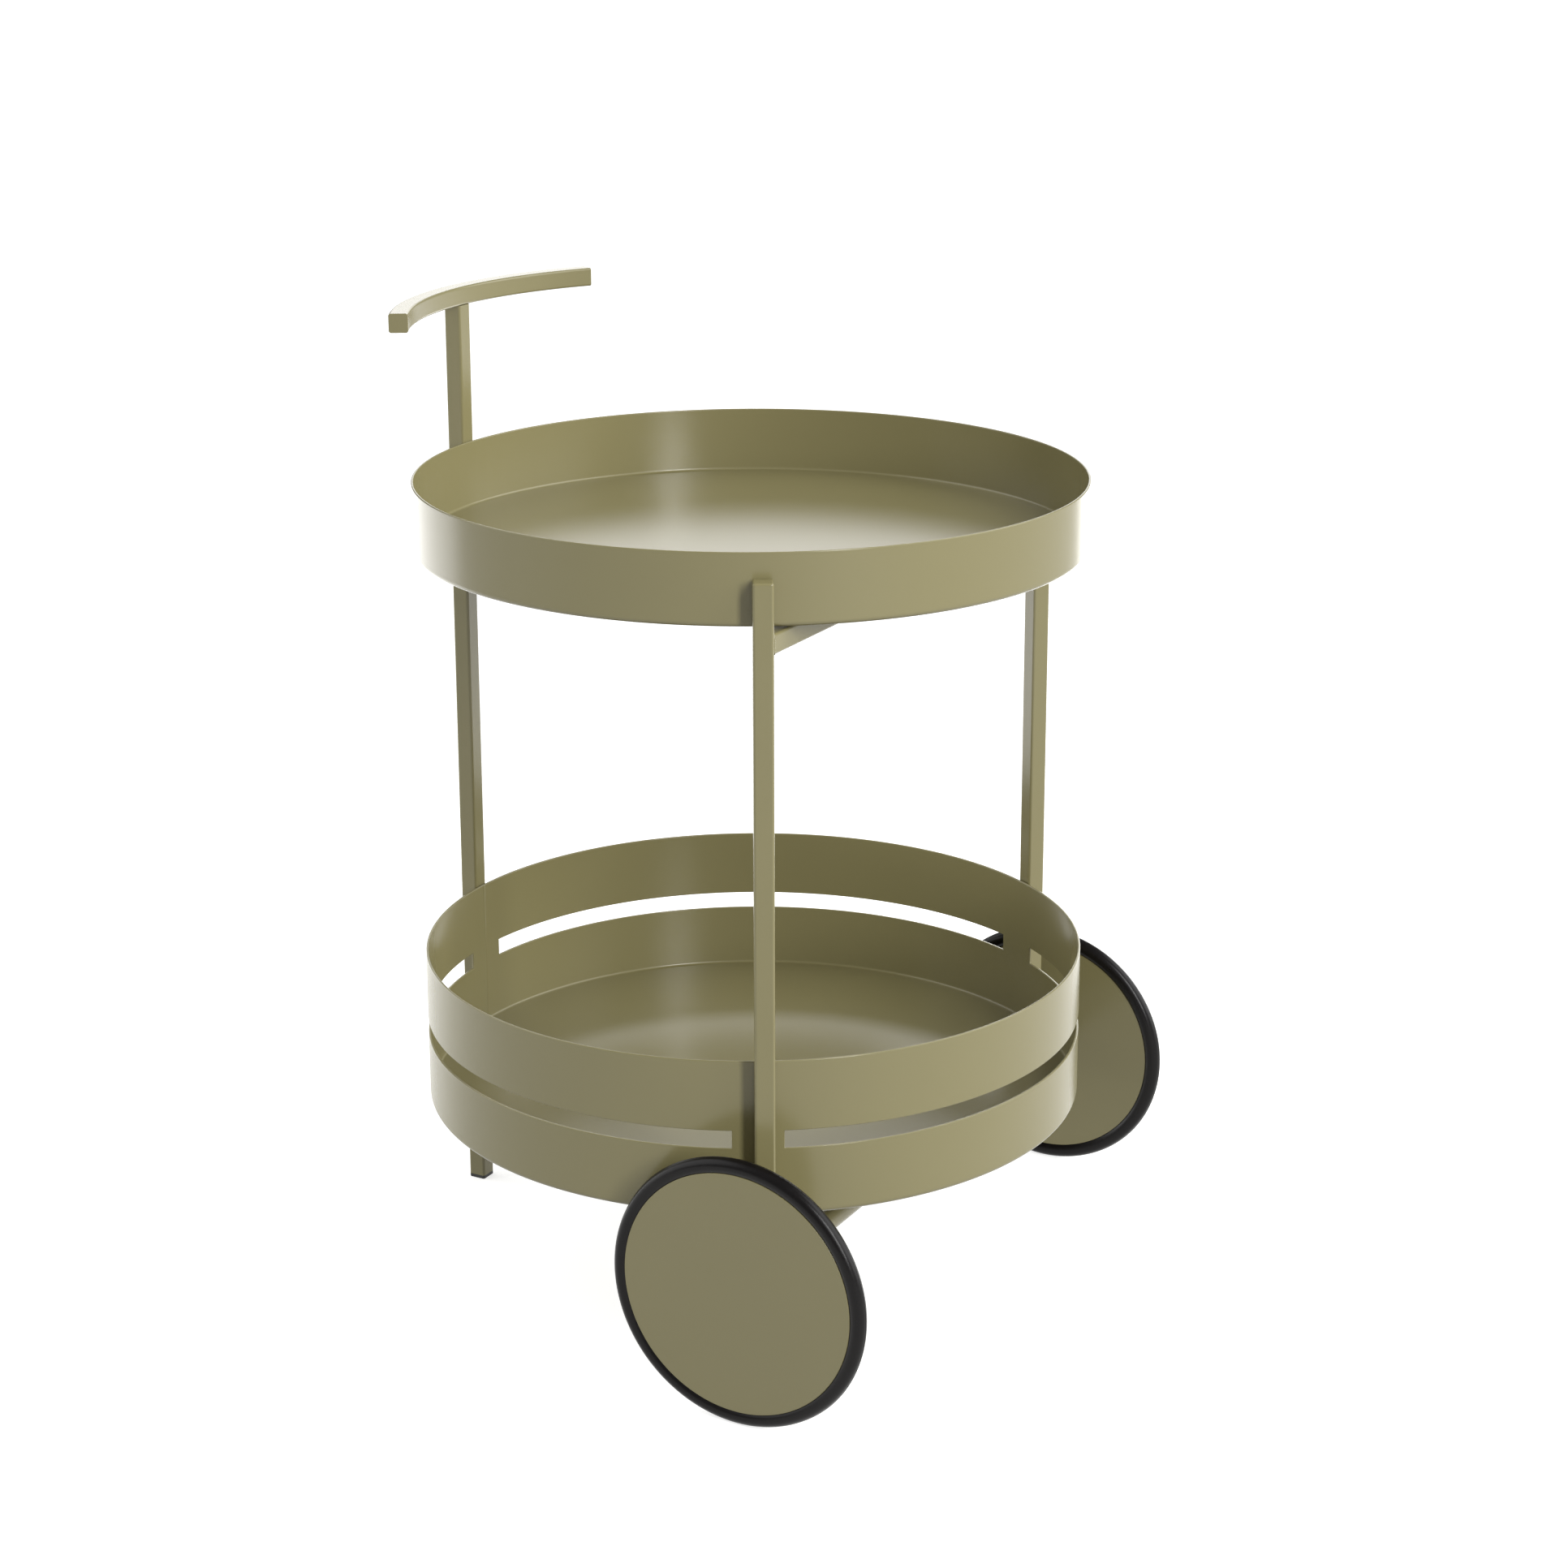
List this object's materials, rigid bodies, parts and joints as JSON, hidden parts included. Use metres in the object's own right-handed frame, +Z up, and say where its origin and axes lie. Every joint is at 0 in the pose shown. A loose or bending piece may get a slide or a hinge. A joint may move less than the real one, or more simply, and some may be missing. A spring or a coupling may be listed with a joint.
{
  "type": "plant trolley",
  "caption": "Round two-tier plant trolley: bent-sheet trays between square-tube legs, a bow handle on the rear leg and disc wheels on an axle at the front.",
  "frame": {"origin": "on the floor, under the middle of the trolley's bounding box", "axes": "+Z up, +X forward from the handle leg towards the wheels, +Y towards the left wheel, along the axle; the XZ plane is the mirror plane"},
  "size_m": [0.433, 0.4474, 0.62],
  "materials": {
    "powder_coat": "satin khaki powder coat",
    "tyre_rubber": "smooth black rubber, slightly glossy",
    "black_plastic": "matt black foot cap",
    "bush_plastic": "dark bearing plastic",
    "steel": "zinc-plated steel"
  },
  "bodies": {
    "frame": {"upper_tray": "powder_coat", "lower_tray": "powder_coat", "handle_leg": "powder_coat", "wheel_leg_right": "powder_coat", "wheel_leg_left": "powder_coat", "handle_bar": "powder_coat", "handle_end_caps": "powder_coat", "wheel_leg_top_caps": "powder_coat", "wheel_leg_bottom_caps": "black_plastic", "foot_cap": "black_plastic", "upper_cross_bar": "powder_coat", "upper_stretcher": "powder_coat", "lower_cross_bar": "powder_coat", "lower_stretcher": "powder_coat", "axle_tube": "powder_coat", "axle_rod": "steel", "axle_sleeves": "powder_coat", "inner_thrust_washers": "steel", "outer_washers": "steel", "retaining_rings": "steel", "upper_tray_bosses": "powder_coat", "upper_tray_screws": "steel", "upper_tray_washers": "steel", "lower_tray_bosses": "powder_coat", "lower_tray_screws": "steel", "lower_tray_washers": "steel"},
    "wheel_right": {"wheel_core_right": "powder_coat", "wheel_cover_right": "powder_coat", "tyre_right": "tyre_rubber", "hub_bush_right": "bush_plastic"},
    "wheel_left": {"wheel_core_left": "powder_coat", "wheel_cover_left": "powder_coat", "tyre_left": "tyre_rubber", "hub_bush_left": "bush_plastic"}
  },
  "joints": [
    {"name": "wheel_right_spin", "type": "hinge", "parent": "frame", "child": "wheel_right", "pos_m": [0.11826, -0.2185, 0.084], "axis": [0, 1, 0], "continuous": true},
    {"name": "wheel_left_spin", "type": "hinge", "parent": "frame", "child": "wheel_left", "pos_m": [0.11826, 0.2185, 0.084], "axis": [0, 1, 0], "continuous": true}
  ]
}
